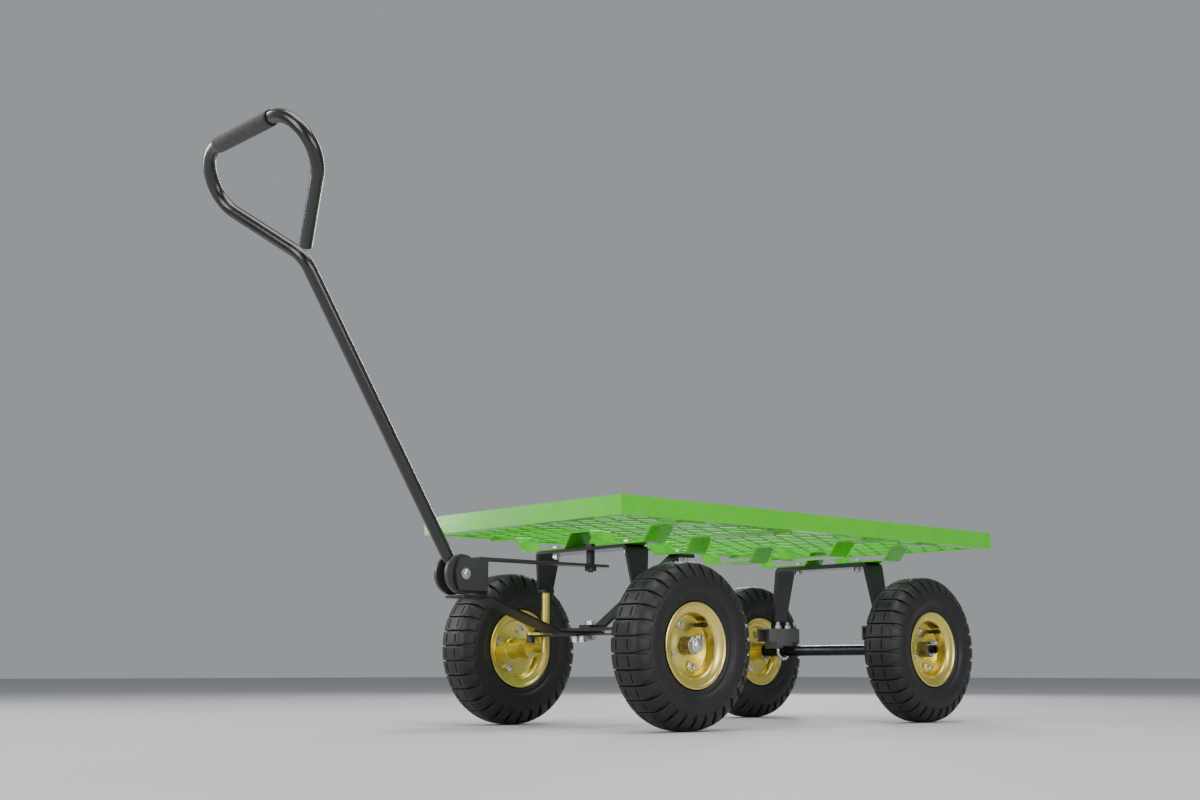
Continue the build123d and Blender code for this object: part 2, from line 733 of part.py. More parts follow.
# ---- handle -------------------------------------------------------------------------
stem_dir = Vector(cos(radians(rest_angle)), 0, sin(radians(rest_angle)))
handle_plane = Plane((pivot_x, 0, pivot_z), x_dir=stem_dir, z_dir=stem_dir.cross(Vector(0, 1, 0)))
branch_angle = 49.5       # each side of the loop leaves the stem's line at this angle
spread = tan(radians(branch_angle))
loop_r = 56.0             # bends at the grip's ends
stem_bend_r = 45.0
foot_past_pivot = 12.0    # tube below the pivot
free_end = 15.0           # the loop's free end stops this far past the bend
tube_wall = 1.8
with BuildPart() as handle:
    with BuildLine(handle_plane) as path:
        FilletPolyline(
            (-foot_past_pivot, 0),
            (stem_l, 0),
            (stem_l + loop_l, -loop_l * spread),
            (stem_l + loop_l, loop_l * spread),
            (stem_l + free_end, free_end * spread),
            radius=[stem_bend_r, loop_r, loop_r],
        )
    with BuildSketch(Plane(path.line @ 0, z_dir=path.line % 0)):
        Circle(handle_r)
        Circle(handle_r - tube_wall, mode=Mode.SUBTRACT)
    sweep()
    with BuildSketch(Plane((pivot_x, 0, pivot_z), z_dir=(0, 1, 0))):
        Circle(pivot_bolt_r + run)
    extrude(amount=yoke_w / 2, both=True, mode=Mode.SUBTRACT)
save(handle.part, "handle_tube")

# Foam grip on the straight bar of the loop.
grip_l = 154.0
grip_centre = handle_plane.from_local_coords(Vector(stem_l + loop_l, 0, 0))
with BuildPart() as grip:
    with BuildSketch(Plane(grip_centre, z_dir=(0, 1, 0))):
        Circle(grip_r)
        Circle(handle_r, mode=Mode.SUBTRACT)
    extrude(amount=grip_l / 2, both=True)
save(grip.part, "handle_grip")

# Cheeks: two pressed discs on the foot of the handle, with a raised pivot boss.
cheek_r = 31.0
cheek_out = 16.5          # outer face of each disc from the middle
cheek_edge_r = 1.5
boss_disc_r = 11.0
cheeks = []
for side in (-1, 1):
    with BuildPart() as cheek:
        with BuildSketch(Plane((pivot_x, side * handle_r, pivot_z), z_dir=(0, side, 0))):
            Circle(cheek_r)
        extrude(amount=cheek_out - handle_r)
        fillet(cheek.edges().filter_by(GeomType.CIRCLE), cheek_edge_r)
        with BuildSketch(Plane((pivot_x, side * cheek_out, pivot_z), z_dir=(0, side, 0))):
            Circle(boss_disc_r)
        extrude(amount=yoke_w / 2 - yoke_t - side_play - cheek_out)
        with BuildSketch(Plane((pivot_x, 0, pivot_z), z_dir=(0, side, 0))):
            Circle(pivot_bolt_r + run)
        extrude(amount=yoke_w, mode=Mode.SUBTRACT)
    cheeks.append(cheek.part)
save(Compound(children=cheeks), "handle_cheeks")

# ---- wheels -------------------------------------------------------------------------
rim_r = 66.6
seat_r = 50.8             # bead seat
sheet = 2.5
dish_r = seat_r - sheet   # air side of the rim barrel
flange_u = 31.6           # rim flange, out from the wheel's mid-plane
hub_r = 14.0
hub_plate_in = -8.0       # hub flange faces, clamped between the rim halves
hub_plate_out = 2.0
hub_plate_r = 46.0
hub_gap = 0.3             # rim sheet clear of the hub
boss_r = hub_r + hub_gap + sheet
boss_end = hub_in - 0.5   # end of the inner half's boss
boss_step = 1.5           # raised ring of the outer half round the hub
rim_bend_r = 3.0
rim_bolt_r = 3.5
rim_bolt_af = 12.0
rim_head_h = 5.0
rim_nut_h = 6.0
rim_bolt_tail = 10.0
rim_pcd = 70.0
rim_bolt_angle = 20.0
stem_place = (26.0, 32.0)     # valve stem from the axle, seen from outside: right, up
stem_r = 3.2
stem_len = 12.0
cap_r = 4.0
cap_len = 11.0
cap_edge_r = 1.2
bead_u = 12.0             # toe of the tyre's bead
bead_gap = 0.2


def turned(plane, points, bend_r):
    """A sheet shell turned about the axle; points lie on its air side (out, radius)."""
    with BuildPart() as shell:
        with BuildSketch(plane):
            with BuildLine():
                air_side = FilletPolyline(*points, radius=bend_r)
                offset(air_side, amount=sheet, side=Side.LEFT if points[-1][0] > 0 else Side.RIGHT)
            make_face()
        revolve(axis=Axis(plane.origin, plane.x_dir))
    return shell.part


def tyre(plane, name):
    """Pneumatic tyre: an open carcass from bead to bead with a rounded crown."""
    foot_r = seat_r + bead_gap
    with BuildPart() as body:
        with BuildSketch(plane):
            with BuildLine():
                bead = Polyline((0, 119), (22, 112), (30, 96), (16, 62), (bead_u, foot_r), (22, foot_r))
                side_wall = Line(bead @ 1, (28.4, 67.8))
                wall = ThreePointArc(side_wall @ 1, (tyre_w / 2, 97), (31.5, 122))
                TangentArc((0, wheel_r), wall @ 1, tangent=(1, 0))
                mirror(about=Plane.YZ)
            make_face()
        revolve(axis=Axis(plane.origin, plane.x_dir))
    save(body.part, name)


def wheel(prefix, x, side, track):
    """One wheel: tyre, two rim halves, hub, four bolts with nuts and a valve stem."""
    plane = wheel_plane(x, side, track)
    centre = plane.origin
    facing = Plane(centre, x_dir=(-side, 0, 0), z_dir=(0, side, 0))
    outer_face = hub_plate_out + sheet
    inner_face = hub_plate_in - sheet
    bolt_spots = PolarLocations(rim_pcd / 2, 4, rim_bolt_angle)
    tyre(plane, f"{prefix}_tyre")

    outer_points = [
        (outer_face + boss_step, hub_r + hub_gap),
        (outer_face + boss_step, 22),
        (outer_face, 26),
        (outer_face, dish_r),
        (flange_u - sheet, dish_r),
        (flange_u, rim_r),
    ]
    inner_points = [
        (-boss_end, boss_r),
        (inner_face, boss_r),
        (inner_face, dish_r),
        (sheet - flange_u, dish_r),
        (-flange_u, rim_r),
    ]
    for name, points in (("rim_outer", outer_points), ("rim_inner", inner_points)):
        with BuildPart() as rim:
            add(turned(plane, points, rim_bend_r))
            with BuildSketch(facing):
                with bolt_spots:
                    Circle(rim_bolt_r)
            extrude(amount=hub_out, both=True, mode=Mode.SUBTRACT)
        save(rim.part, f"{prefix}_{name}")

    with BuildPart() as hub:
        with BuildSketch(facing.offset(-hub_in)):
            Circle(hub_r)
        extrude(amount=hub_in + hub_out)
        with BuildSketch(facing.offset(hub_plate_in)):
            Circle(hub_plate_r)
        extrude(amount=hub_plate_out - hub_plate_in)
        with BuildSketch(facing.offset(hub_plate_in - past)):
            with bolt_spots:
                Circle(rim_bolt_r)
        extrude(amount=hub_plate_out - hub_plate_in + 2 * past, mode=Mode.SUBTRACT)
        with BuildSketch(facing.offset(-hub_in - past)):
            Circle(axle_r + run)
        extrude(amount=hub_in + hub_out + 2 * past, mode=Mode.SUBTRACT)
    save(hub.part, f"{prefix}_hub")

    clamped = outer_face - inner_face
    fasteners = []
    for spot in bolt_spots.locations:
        spot_plane = Plane(facing.location * spot)
        head_at = Plane(spot_plane.offset(inner_face).origin, z_dir=-facing.z_dir)
        nut_at = spot_plane.offset(outer_face)
        fasteners.append(bolt(head_at, rim_bolt_r, rim_bolt_af, rim_head_h, clamped, rim_bolt_tail))
        fasteners.append(nut(nut_at, rim_bolt_r, rim_bolt_af, rim_nut_h))
    save(Compound(children=fasteners), f"{prefix}_rim_bolts")

    with BuildPart() as stem:
        with BuildSketch(facing.offset(outer_face)):
            with Locations(stem_place):
                Circle(stem_r)
        extrude(amount=stem_len)
        with BuildSketch(facing.offset(outer_face + stem_len)):
            with Locations(stem_place):
                Circle(cap_r)
        extrude(amount=cap_len)
        fillet(stem.faces().sort_by(Axis.Y)[-1 if side > 0 else 0].edges(), cap_edge_r)
    save(stem.part, f"{prefix}_valve_stem")


wheel("front_left", front_x, 1, front_track)
wheel("front_right", front_x, -1, front_track)
wheel("rear_left", rear_x, 1, rear_track)
wheel("rear_right", rear_x, -1, rear_track)
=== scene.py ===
"""Garden cart with a mesh deck, linked front steering, a pull handle and four tyres.

Metres, in the CAD model's own frame: +X forwards, +Y the cart's left, +Z up.
"""
from math import atan2, cos, pi, radians, sin

import bpy
import mathutils
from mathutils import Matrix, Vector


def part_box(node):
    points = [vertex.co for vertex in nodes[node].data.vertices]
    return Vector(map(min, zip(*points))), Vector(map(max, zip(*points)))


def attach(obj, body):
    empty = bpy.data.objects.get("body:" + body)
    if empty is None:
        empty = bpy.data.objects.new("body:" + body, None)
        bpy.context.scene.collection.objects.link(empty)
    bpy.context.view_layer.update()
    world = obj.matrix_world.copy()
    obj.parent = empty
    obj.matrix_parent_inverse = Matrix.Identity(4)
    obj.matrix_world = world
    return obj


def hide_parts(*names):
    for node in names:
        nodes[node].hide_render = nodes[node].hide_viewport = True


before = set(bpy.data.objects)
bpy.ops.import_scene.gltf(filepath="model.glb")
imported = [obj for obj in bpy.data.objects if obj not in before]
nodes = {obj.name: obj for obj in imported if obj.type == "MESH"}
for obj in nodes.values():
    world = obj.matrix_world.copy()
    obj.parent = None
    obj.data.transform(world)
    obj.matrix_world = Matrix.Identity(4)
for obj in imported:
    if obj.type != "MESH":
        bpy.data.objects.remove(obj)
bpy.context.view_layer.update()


# ---- deck rails and cross straps ----------------------------------------------------
# Mild steel angle and strip, welded, then powder coated in one glossy light green.
# The cured powder leaves a fine orange peel, and handling leaves duller, dusty patches.
mm = 0.001


def linear(code):
    """An sRGB hex colour as the linear colour that a shader takes."""
    parts = [int(code[i:i + 2], 16) / 255 for i in (1, 3, 5)]
    return [c / 12.92 if c <= 0.04045 else ((c + 0.055) / 1.055) ** 2.4 for c in parts] + [1.0]


def add_node(material, kind, inputs=(), **settings):
    """Adds a node to a material; an input is given a value, or a socket to link from."""
    tree = material.node_tree
    node = tree.nodes.new(kind)
    for name, value in settings.items():
        setattr(node, name, value)
    for name, value in dict(inputs).items():
        if isinstance(value, bpy.types.NodeSocket):
            tree.links.new(value, node.inputs[name])
        else:
            node.inputs[name].default_value = value
    return node


def new_material(name):
    """An empty material, with its object coordinates ready to read."""
    material = bpy.data.materials.new(name)
    material.use_nodes = True
    material.node_tree.nodes.clear()
    place = add_node(material, "ShaderNodeTexCoord").outputs["Object"]
    return material, place


def finish_material(material, **inputs):
    """Adds the shader and the output; the inputs are the shader's own sockets."""
    named = {name.replace("_", " ").title(): value for name, value in inputs.items()}
    named = {name.replace("Ior", "IOR"): value for name, value in named.items()}
    shader = add_node(material, "ShaderNodeBsdfPrincipled", named)
    surface = {"Surface": shader.outputs["BSDF"]}
    add_node(material, "ShaderNodeOutputMaterial", surface)
    return material


def blotches(material, place, size_mm, low, high, detail=3.0, edge=0.25):
    """A soft noise of that feature size, spread between two values."""
    noise = add_node(material, "ShaderNodeTexNoise",
                     {"Vector": place, "Scale": 1000 / size_mm, "Detail": detail})
    spread = add_node(material, "ShaderNodeMapRange",
                      {"Value": noise.outputs["Fac"], "From Min": 0.5 - edge,
                       "From Max": 0.5 + edge, "To Min": low, "To Max": high})
    return spread.outputs["Result"]


def mixed(material, factor, first, second):
    """Two colours mixed by a factor."""
    mix = add_node(material, "ShaderNodeMix", {0: factor, 6: first, 7: second}, data_type="RGBA")
    return mix.outputs[2]


def bumped(material, height, depth_mm, strength, under=None):
    """A bump of that real depth, on top of another bump's normal if one is given."""
    inputs = {"Height": height, "Distance": depth_mm * mm, "Strength": strength}
    if under:
        inputs["Normal"] = under
    return add_node(material, "ShaderNodeBump", inputs).outputs["Normal"]


def powder_coat(name, colour, dull, roughness, peel_mm, coat=0.0):
    """Cured powder paint on steel: fine orange peel, dusty patches and small chips."""
    material, place = new_material(name)
    patches = blotches(material, place, 45, 0.0, 1.0)
    base = mixed(material, patches, linear(colour), linear(dull))
    chips = blotches(material, place, 5, 0.0, 1.0, detail=6.0, edge=0.03)
    rare = add_node(material, "ShaderNodeMath", {0: chips, 1: 6.0}, operation="POWER")
    zone = blotches(material, place, 60, -1.6, 1.1, edge=0.2)
    worn = add_node(material, "ShaderNodeMath", {0: rare.outputs[0], 1: zone},
                    operation="MULTIPLY", use_clamp=True)
    base = mixed(material, worn.outputs[0], base, linear(dull))
    gloss = blotches(material, place, 18, roughness - 0.05, roughness + 0.08)
    peel = blotches(material, place, peel_mm, 0.0, 1.0, detail=1.0)
    normal = bumped(material, peel, 0.12, 0.25)
    return finish_material(material, base_color=base, roughness=gloss, normal=normal,
                           coat_weight=coat, coat_roughness=0.12, ior=1.5)


def coat_nodes(material, *names):
    """Gives CAD nodes their finish."""
    for name in names:
        mesh = nodes[name].data
        mesh.materials.clear()
        mesh.materials.append(material)


green_powder = powder_coat("green powder coat on steel", "#55cf1c", "#4fc41a", 0.27, 1.6, 0.4)
rails = ["deck_left_rail", "deck_right_rail", "deck_front_rail", "deck_rear_rail"]
straps = ["front_strap", "brace_strap", "middle_strap", "rear_strap"]
coat_nodes(green_powder, *rails, *straps)

# ---- expanded metal floor -----------------------------------------------------------
# A steel sheet slit and pulled open into staggered diamonds, so that every strand is
# twisted a little out of flat. It is welded on the rail flanges and coated with them.
floor_low, floor_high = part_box("deck_mesh")


def start():
    """Leaves edit mode and deselects everything."""
    if bpy.context.object and bpy.context.object.mode != "OBJECT":
        bpy.ops.object.mode_set(mode="OBJECT")
    bpy.ops.object.select_all(action="DESELECT")


def pick(obj, kind, test):
    """Selects the vertices, or the faces, whose place passes the test, in edit mode."""
    if obj.mode != "OBJECT":
        bpy.ops.object.mode_set(mode="OBJECT")
    mesh = obj.data
    for parts in (mesh.vertices, mesh.edges, mesh.polygons):
        parts.foreach_set("select", [False] * len(parts))
    if kind == "VERT":
        mesh.vertices.foreach_set("select", [bool(test(v.co)) for v in mesh.vertices])
    else:
        mesh.polygons.foreach_set("select", [bool(test(f.center)) for f in mesh.polygons])
    bpy.ops.object.mode_set(mode="EDIT")
    bpy.ops.mesh.select_mode(type=kind)


def apply_modifier(obj, kind, **settings):
    """Adds a modifier with its settings and applies it."""
    bpy.context.view_layer.objects.active = obj
    modifier = obj.modifiers.new(kind.lower(), kind)
    for name, value in settings.items():
        setattr(modifier, name, value)
    bpy.ops.object.modifier_apply(modifier=modifier.name)


def placed_copy(obj, name, turn=(0, 0, 0), move=(0, 0, 0)):
    """A copy with its own mesh, its turn and place applied to the mesh."""
    start()
    copy = obj.copy()
    copy.data = obj.data.copy()
    copy.name = copy.data.name = name
    bpy.context.collection.objects.link(copy)
    copy.rotation_euler = turn
    copy.location = move
    copy.select_set(True)
    bpy.context.view_layer.objects.active = copy
    bpy.ops.object.transform_apply(location=True, rotation=True, scale=True)
    return copy


def join(target, others):
    """Joins other objects into the target's mesh."""
    start()
    for other in others:
        other.select_set(True)
    target.select_set(True)
    bpy.context.view_layer.objects.active = target
    bpy.ops.object.join()
    return target


def middle(node):
    """Centre of a CAD node's box."""
    low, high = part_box(node)
    return [(a + b) / 2 for a, b in zip(low, high)]


pitch_x = 62 * mm
pitch_y = 37 * mm
strand_w = 3.6 * mm
strand_t = 1.5 * mm
strand_l = (pitch_x ** 2 + pitch_y ** 2) ** 0.5 / 2
strand_turn = atan2(pitch_y, pitch_x)
twist = radians(19)
start()
bpy.ops.mesh.primitive_cube_add(size=1, scale=(strand_l + strand_w * 0.6, strand_w, strand_t))
strand = bpy.context.object
bpy.ops.object.transform_apply(location=True, rotation=True, scale=True)
bpy.ops.object.mode_set(mode="EDIT")
bpy.ops.mesh.select_all(action="SELECT")
bpy.ops.mesh.bisect(plane_co=(strand_l * 0.32, 0, 0), plane_no=(1, 0, 0))
bpy.ops.mesh.select_all(action="SELECT")
bpy.ops.mesh.bisect(plane_co=(-strand_l * 0.32, 0, 0), plane_no=(1, 0, 0))
pick(strand, "VERT", lambda co: abs(co.x) < strand_l * 0.4)
bpy.ops.transform.resize(value=(1, 0.86, 1), center_override=(0, 0, 0))
bpy.ops.object.mode_set(mode="OBJECT")
apply_modifier(strand, "BEVEL", width=0.35 * mm, segments=1, limit_method="ANGLE", angle_limit=radians(40))
cell = []
for across_x, across_y in ((1, 1), (-1, 1), (-1, -1), (1, -1)):
    turned_copy = placed_copy(strand, "strand", turn=(twist * across_y, 0, 0))
    cell.append(placed_copy(turned_copy, "strand", turn=(0, 0, -across_x * across_y * strand_turn),
                            move=(across_x * pitch_x / 4, across_y * pitch_y / 4, 0)))
    bpy.data.objects.remove(turned_copy)
bpy.data.objects.remove(strand)
mesh_floor = join(cell[0], cell[1:])
mesh_floor.name = mesh_floor.data.name = "expanded_metal_floor"
columns, rows = 17, 15
apply_modifier(mesh_floor, "ARRAY", count=columns, use_relative_offset=False,
               use_constant_offset=True, constant_offset_displace=(pitch_x, 0, 0))
apply_modifier(mesh_floor, "ARRAY", count=rows, use_relative_offset=False,
               use_constant_offset=True, constant_offset_displace=(0, pitch_y, 0))
floor_mid = [(a + b) / 2 for a, b in zip(floor_low, floor_high)]
mesh_floor.location = (floor_mid[0] - pitch_x * (columns - 1) / 2, -pitch_y * (rows - 1) / 2, floor_mid[2])
bpy.ops.object.transform_apply(location=True, rotation=True, scale=True)
bpy.ops.object.mode_set(mode="EDIT")
for axis, low, high in ((0, floor_low[0], floor_high[0]), (1, floor_low[1], floor_high[1])):
    for place, sign in ((low, -1), (high, 1)):
        edge = [0.0, 0.0, 0.0]
        facing = [0.0, 0.0, 0.0]
        edge[axis] = place
        facing[axis] = sign
        bpy.ops.mesh.select_all(action="SELECT")
        bpy.ops.mesh.bisect(plane_co=edge, plane_no=facing, clear_outer=True, use_fill=True)
bpy.ops.object.mode_set(mode="OBJECT")
mesh_powder = powder_coat("green powder coat on expanded steel", "#4cc617", "#46b915", 0.55, 1.6)
mesh_floor.data.materials.append(mesh_powder)
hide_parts("deck_mesh")
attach(mesh_floor, "chassis")

# ---- welds of the deck --------------------------------------------------------------
# Short MIG runs, painted over: each is a row of overlapping puddles that flatten into
# both plates. They hold the strap ends under the rails and close the rails' corners.
bead_r = 2.1 * mm
bead_step = 1.7 * mm
lap_from = 0.955          # where a strap goes under the rail, over its half width
rail_wall = 2.5 * mm


def weld_run(first, last, flat):
    """One run from a point to another, its puddles flattened along the flat axis."""
    path = mathutils.Vector(last) - mathutils.Vector(first)
    count = max(2, round(path.length / bead_step))
    squeeze = [0.55 if axis == flat else 1.0 for axis in range(3)]
    puddles = []
    for number in range(count):
        start()
        spot = mathutils.Vector(first) + path * (number / (count - 1))
        swell = 1.0 + 0.16 * sin(number * 2.3)
        bpy.ops.mesh.primitive_ico_sphere_add(subdivisions=2, radius=bead_r * swell, location=spot,
                                              scale=squeeze)
        bpy.ops.object.transform_apply(location=True, rotation=True, scale=True)
        puddles.append(bpy.context.object)
    return join(puddles[0], puddles[1:])


rail_low, rail_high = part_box("deck_left_rail")
runs = []
for strap in straps:
    low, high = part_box(strap)
    for end in (low[1], high[1]):
        inner = end * lap_from
        runs.append(weld_run((low[0] + bead_r, end, high[2]), (high[0] - bead_r, end, high[2]), 2))
        for edge in (low[0], high[0]):
            runs.append(weld_run((edge, inner, high[2]), (edge, end, high[2]), 2))
leg_y = rail_high[1] - rail_wall
for corner_x in (rail_low[0] + rail_wall, rail_high[0] - rail_wall):
    for corner_y in (-leg_y, leg_y):
        runs.append(weld_run((corner_x, corner_y, rail_low[2] + 5 * mm),
                             (corner_x, corner_y, rail_high[2] - 2 * mm), 0))
deck_welds = join(runs[0], runs[1:])
deck_welds.name = deck_welds.data.name = "deck_weld_runs"
bpy.ops.object.shade_smooth()
deck_welds.data.materials.append(green_powder)
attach(deck_welds, "chassis")

# ---- running gear: brackets, axle beam, brace ---------------------------------------
# Hot rolled flat bar, bent cold and welded, in satin black powder coat. The tongue's
# yoke, its upper strap and the handle's cheeks are a dark grey of the same kind.
black_powder = powder_coat("satin black powder coat on steel", "#121213", "#1f1f20", 0.31, 1.3, 0.15)
coat_nodes(black_powder, "front_bracket", "front_axle_beam", "diagonal_brace",
           "rear_bracket", "tongue_lower_plate", "left_tie_rod", "right_tie_rod",
           "left_joint_bolt", "right_joint_bolt")
graphite_powder = powder_coat("graphite powder coat on steel", "#2b2b2d", "#3a3a3b", 0.38, 1.3, 0.1)
coat_nodes(graphite_powder, "tongue_yoke", "tongue_upper_strap", "handle_cheeks",
           "upper_pivot_bolt")
saddle_paint = powder_coat("grey primer on steel", "#474846", "#636461", 0.42, 1.0)
coat_nodes(saddle_paint, "axle_saddles")


# ---- plated fasteners ---------------------------------------------------------------
# Cold formed steel bolts, nuts, washers and U-bolts in bright zinc: a pale blue-white
# metal with faint cloudy patches and small handling marks.
def plated(name, colour, tint, roughness, cloud_mm, mark_mm=0.8):
    """Electroplate on steel: two close tones in clouds, with fine marks."""
    material, place = new_material(name)
    clouds = blotches(material, place, cloud_mm, 0.0, 1.0, detail=4.0)
    base = mixed(material, clouds, linear(colour), linear(tint))
    gloss = blotches(material, place, cloud_mm / 3, roughness - 0.07, roughness + 0.1)
    marks = blotches(material, place, mark_mm, 0.0, 1.0, detail=5.0)
    normal = bumped(material, marks, 0.05, 0.2)
    return finish_material(material, base_color=base, metallic=1.0, roughness=gloss, normal=normal)


bright_zinc = plated("bright zinc plate", "#dfe1e4", "#c6c8ca", 0.24, 9)
coat_nodes(bright_zinc, "strap_bolts", "lower_pivot_bolt", "rear_axle_pins", "rear_u_bolts",
           "handle_pivot_bolt", "tongue_joint_bolts")

# ---- rear axle ----------------------------------------------------------------------
# Drawn steel bar, oil blackened and bright on its high spots. Drawing leaves fine lines
# along the bar.
def drawn(name, colour, tint, roughness, across):
    """Drawn bar: fine lines along Y, close together across it."""
    material, place = new_material(name)
    stretch = add_node(material, "ShaderNodeMapping", {"Vector": place, "Scale": across})
    lines = blotches(material, stretch.outputs["Vector"], 0.9, 0.0, 1.0, detail=2.0)
    base = mixed(material, lines, linear(colour), linear(tint))
    gloss = blotches(material, place, 25, roughness - 0.06, roughness + 0.08)
    normal = bumped(material, lines, 0.03, 0.25)
    return finish_material(material, base_color=base, metallic=1.0, roughness=gloss, normal=normal)


axle_steel = drawn("oil blackened drawn steel", "#26272a", "#3b3c40", 0.26, (1, 0.03, 1))
coat_nodes(axle_steel, "rear_axle")

# ---- knuckles and rims --------------------------------------------------------------
# Pressed and turned steel in yellow chromate zinc: pale straw gold that drifts a little
# to green and to pink, with a soft metallic gloss.
def chromate(name):
    """Yellow chromate over zinc, its film a little thicker in some places."""
    material, place = new_material(name)
    drift = blotches(material, place, 30, 0.0, 1.0, detail=4.0)
    straw = mixed(material, drift, linear("#f4e584"), linear("#dfce62"))
    rose = blotches(material, place, 55, -0.5, 0.55)
    rose_only = add_node(material, "ShaderNodeClamp", {"Value": rose})
    base = mixed(material, rose_only.outputs[0], straw, linear("#ecd490"))
    gloss = blotches(material, place, 10, 0.24, 0.4)
    grain = blotches(material, place, 0.9, 0.0, 1.0, detail=5.0)
    normal = bumped(material, grain, 0.05, 0.22)
    return finish_material(material, base_color=base, metallic=1.0, roughness=gloss, normal=normal)


wheels = ("front_left", "front_right", "rear_left", "rear_right")
yellow_chromate = chromate("yellow chromate zinc plate")
coat_nodes(yellow_chromate, "left_knuckle", "right_knuckle")
dark_chrome = plated("dark nickel plate on the hub", "#9a9b9f", "#7c7d81", 0.22, 14)


def draw_profile(name, points):
    """A closed line of points (across, out) in the plane X = 0, drawn point by point."""
    start()
    bpy.ops.mesh.primitive_plane_add(size=0.01)
    obj = bpy.context.object
    obj.name = obj.data.name = name
    bpy.ops.object.mode_set(mode="EDIT")
    bpy.ops.mesh.select_mode(type="VERT")
    bpy.ops.mesh.select_all(action="SELECT")
    bpy.ops.mesh.merge(type="CENTER")
    across, out = points[0]
    bpy.ops.transform.translate(value=(0, across, out))
    for (y0, z0), (y1, z1) in zip(points, points[1:] + points[:1]):
        bpy.ops.mesh.extrude_region_move(TRANSFORM_OT_translate={"value": (0, y1 - y0, z1 - z0)})
    bpy.ops.mesh.select_all(action="SELECT")
    bpy.ops.mesh.remove_doubles(threshold=1e-6)
    return obj


def spin_profile(obj, angle, steps, filled=False):
    """Turns the drawn profile about the Y axis and closes it."""
    bpy.ops.mesh.select_all(action="SELECT")
    if filled:
        bpy.ops.mesh.edge_face_add()
    bpy.ops.mesh.spin(steps=steps, angle=angle, center=(0, 0, 0), axis=(0, 1, 0))
    bpy.ops.mesh.select_all(action="SELECT")
    bpy.ops.mesh.remove_doubles(threshold=2e-5)
    bpy.ops.mesh.fill_holes(sides=0)
    bpy.ops.mesh.select_all(action="SELECT")
    bpy.ops.mesh.normals_make_consistent(inside=False)
    bpy.ops.object.mode_set(mode="OBJECT")


def fit_wheel_piece(obj, wheel, part, name):
    """Puts a copy on one wheel, turned to face outwards, in place of a CAD node."""
    facing = 0 if wheel.endswith("left") else pi
    fitted = placed_copy(obj, f"{wheel}_{name}", turn=(0, 0, facing), move=middle(f"{wheel}_tyre"))
    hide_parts(f"{wheel}_{part}")
    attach(fitted, f"{wheel}_wheel")


def spun_piece(name, points_mm, material, steps=96):
    """A turned piece: its section in millimetres (across, out), spun about the axle."""
    obj = draw_profile(name, [(y * mm, r * mm) for y, r in points_mm])
    spin_profile(obj, 2 * pi, steps)
    obj.data.materials.append(material)
    bpy.ops.object.shade_smooth_by_angle(angle=radians(32))
    return obj


# The section of the outer half: its dished disc, the step of the barrel and the curled
# flange that holds the tyre's bead, first on the air side and then back behind it.
disc = [(6.0, 14.4), (6.0, 22), (4.6, 25), (4.5, 46.6), (5.0, 48.0), (6.5, 48.5)]
air_side = [(22, 48.5), (24.5, 50), (26.5, 52.5), (28.4, 58), (29.0, 61.5), (30.6, 62.8),
            (31.5, 64.8), (30.9, 66.5), (29.3, 66.6)]
behind = [(28.4, 65.6), (27.3, 64.2), (26.6, 61.6), (26.2, 57.4), (24.2, 53), (21.4, 51)]
outer_rim = spun_piece("rim", disc + air_side + behind + [(8, 51), (2.2, 49.5), (2.05, 47), (2.05, 14.4)],
                       yellow_chromate)
boss = [(-46.5, 14.4), (-46.5, 16.4), (-12.5, 16.8), (-10.5, 19), (-10.5, 46.5), (-11.5, 48.5)]
flange = [(-y, r) for y, r in air_side + behind]
inner_rim = spun_piece("rim", boss + flange + [(-10, 51), (-8.2, 49.5), (-8.05, 47), (-8.05, 14.4)],
                       yellow_chromate)
for wheel in wheels:
    fit_wheel_piece(outer_rim, wheel, "rim_outer", "pressed_outer_rim")
    fit_wheel_piece(inner_rim, wheel, "rim_inner", "pressed_inner_rim")
    coat_nodes(dark_chrome, f"{wheel}_hub")
bpy.data.objects.remove(outer_rim)
bpy.data.objects.remove(inner_rim)

# ---- rim bolts and axle ends --------------------------------------------------------
# Hexagon bolts and nuts in bright zinc, their crowns turned down and their threads rolled.
# Each front stub axle ends in a washer, a nut and a rounded threaded end.
def hexagon(flats, low, high):
    """A hexagon along the axle with its corners eased, between two places across."""
    start()
    corner_r = flats / 3 ** 0.5
    bpy.ops.mesh.primitive_cylinder_add(vertices=6, radius=corner_r, depth=high - low,
                                        location=(0, (low + high) / 2, 0), rotation=(pi / 2, 0, 0))
    obj = bpy.context.object
    bpy.ops.object.transform_apply(location=True, rotation=True, scale=True)
    apply_modifier(obj, "BEVEL", width=0.09 * flats, segments=3, limit_method="ANGLE",
                   angle_limit=radians(70))
    obj.data.materials.append(bright_zinc)
    bpy.ops.object.shade_smooth_by_angle(angle=radians(32))
    return obj


def threaded_end(name, radius_mm, low_mm, high_mm, pitch_mm):
    """A rolled thread along the axle with a rounded point."""
    turns = int((high_mm - low_mm - 2) / pitch_mm)
    crests = [(low_mm, 0.0)]
    for turn in range(turns):
        crests += [(low_mm + turn * pitch_mm, radius_mm), (low_mm + (turn + 0.5) * pitch_mm, radius_mm * 0.9)]
    top = low_mm + turns * pitch_mm
    crests += [(top, radius_mm * 0.96), ((top + high_mm) / 2, radius_mm * 0.86),
               (high_mm - 0.3, radius_mm * 0.55), (high_mm, 0.0)]
    return spun_piece(name, crests, bright_zinc, steps=32)


